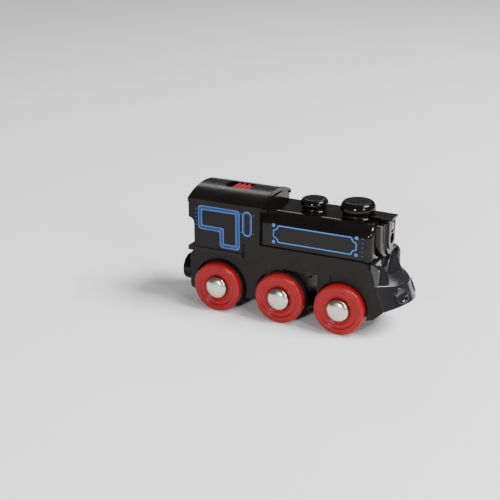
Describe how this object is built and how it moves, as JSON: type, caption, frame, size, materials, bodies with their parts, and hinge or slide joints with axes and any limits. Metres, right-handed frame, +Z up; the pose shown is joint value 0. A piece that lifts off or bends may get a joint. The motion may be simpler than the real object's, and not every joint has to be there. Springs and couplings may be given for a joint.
{
  "type": "toy steam locomotive",
  "caption": "Black tank-style toy locomotive for a wooden railway, with red wheels, a geared motor inside, a sliding roof switch, a pointed front and a swinging magnetic rear coupling.",
  "frame": {"origin": "under the middle of the overall length, on the centre plane, at the height where the wheels stand", "axes": "+X along the locomotive towards the chimney end, +Y to its left side, +Z up"},
  "size_m": [0.1023, 0.0376, 0.0513],
  "materials": {
    "body_gloss": "glossy black shell",
    "frame_matt": "fine matt dark grey",
    "wheel_red": "glossy red",
    "tyre_rubber": "soft black traction rubber",
    "cap_chrome": "polished",
    "steel": "bright machined",
    "magnet_steel": "nickel plated",
    "gear_white": "moulded off-white",
    "brass": "machined",
    "board_green": "coated board",
    "cell_wrap": "shrunk sleeve",
    "lens_clear": "clear moulded",
    "wire_red": "insulation",
    "wire_black": "insulation"
  },
  "bodies": {
    "body": {"boiler_shell": "body_gloss", "cab_shell": "body_gloss", "cab_roof": "body_gloss", "switch_body": "steel", "chimney": "body_gloss", "steam_dome": "body_gloss", "smokebox_front": "body_gloss", "headlamp_lens": "lens_clear", "headlamp_led": "lens_clear", "chassis_frame": "frame_matt", "pilot": "body_gloss", "base_cover": "frame_matt", "base_screw_1": "steel", "base_screw_2": "steel", "base_screw_3": "steel", "base_screw_4": "steel", "idler_shaft": "steel", "gear_shaft_2": "steel", "gear_shaft_1": "steel", "motor": "steel", "gearbox_frame": "frame_matt", "battery_cell": "cell_wrap", "circuit_board": "board_green", "charging_socket": "steel", "motor_wire_red": "wire_red", "motor_wire_black": "wire_black", "lamp_wire": "wire_red", "coupling_pin": "steel"},
    "switch": {"switch_knob": "wheel_red"},
    "rear_axle_set": {"rear_axle": "steel", "rear_wheel_left": "wheel_red", "rear_wheel_right": "wheel_red", "rear_cap_left": "cap_chrome", "rear_cap_right": "cap_chrome", "rear_tyre_left": "tyre_rubber", "rear_tyre_right": "tyre_rubber", "rear_axle_gear": "gear_white"},
    "middle_axle_set": {"middle_axle": "steel", "middle_wheel_left": "wheel_red", "middle_wheel_right": "wheel_red", "middle_cap_left": "cap_chrome", "middle_cap_right": "cap_chrome", "middle_tyre_left": "tyre_rubber", "middle_tyre_right": "tyre_rubber", "middle_axle_gear": "gear_white"},
    "front_axle_set": {"front_axle": "steel", "front_wheel_left": "wheel_red", "front_wheel_right": "wheel_red", "front_cap_left": "cap_chrome", "front_cap_right": "cap_chrome"},
    "idler": {"idler_gear": "gear_white"},
    "second_gear": {"compound_gear_2": "gear_white"},
    "first_gear": {"compound_gear_1": "gear_white"},
    "motor_rotor": {"motor_shaft": "steel", "motor_pinion": "brass"},
    "coupling": {"rear_coupling": "body_gloss", "rear_magnet": "magnet_steel"}
  },
  "joints": [
    {"name": "rear_axle_spin", "type": "hinge", "parent": "body", "child": "rear_axle_set", "pos_m": [-0.0287, 0, 0.0105], "axis": [0, 1, 0], "continuous": true},
    {"name": "middle_axle_spin", "type": "hinge", "parent": "body", "child": "middle_axle_set", "pos_m": [-0.0005, 0, 0.0105], "axis": [0, 1, 0], "continuous": true},
    {"name": "front_axle_spin", "type": "hinge", "parent": "body", "child": "front_axle_set", "pos_m": [0.0253, 0, 0.0105], "axis": [0, 1, 0], "continuous": true},
    {"name": "idler_spin", "type": "hinge", "parent": "body", "child": "idler", "pos_m": [-0.0146, 0, 0.01717], "axis": [0, 1, 0], "continuous": true},
    {"name": "second_gear_spin", "type": "hinge", "parent": "body", "child": "second_gear", "pos_m": [-0.00463, 0, 0.02714], "axis": [0, 1, 0], "continuous": true},
    {"name": "first_gear_spin", "type": "hinge", "parent": "body", "child": "first_gear", "pos_m": [0.00503, 0, 0.0263], "axis": [0, 1, 0], "continuous": true},
    {"name": "motor_spin", "type": "hinge", "parent": "body", "child": "motor_rotor", "pos_m": [0.01459, 0, 0.02798], "axis": [0, 1, 0], "continuous": true},
    {"name": "switch_slide", "type": "slide", "parent": "body", "child": "switch", "axis": [1, 0, 0], "range_m": [-0.0024, 0.0012]},
    {"name": "coupling_swing", "type": "hinge", "parent": "body", "child": "coupling", "pos_m": [-0.0383, 0, 0.011], "axis": [0, 0, 1], "range_deg": [-12, 12]}
  ],
  "couplings": [
    {"joint": "middle_axle_spin", "follows": "rear_axle_spin", "ratio": 1},
    {"joint": "idler_spin", "follows": "rear_axle_spin", "ratio": -0.40909},
    {"joint": "second_gear_spin", "follows": "rear_axle_spin", "ratio": 1.5},
    {"joint": "first_gear_spin", "follows": "rear_axle_spin", "ratio": -4.5},
    {"joint": "motor_spin", "follows": "rear_axle_spin", "ratio": 13.5}
  ]
}
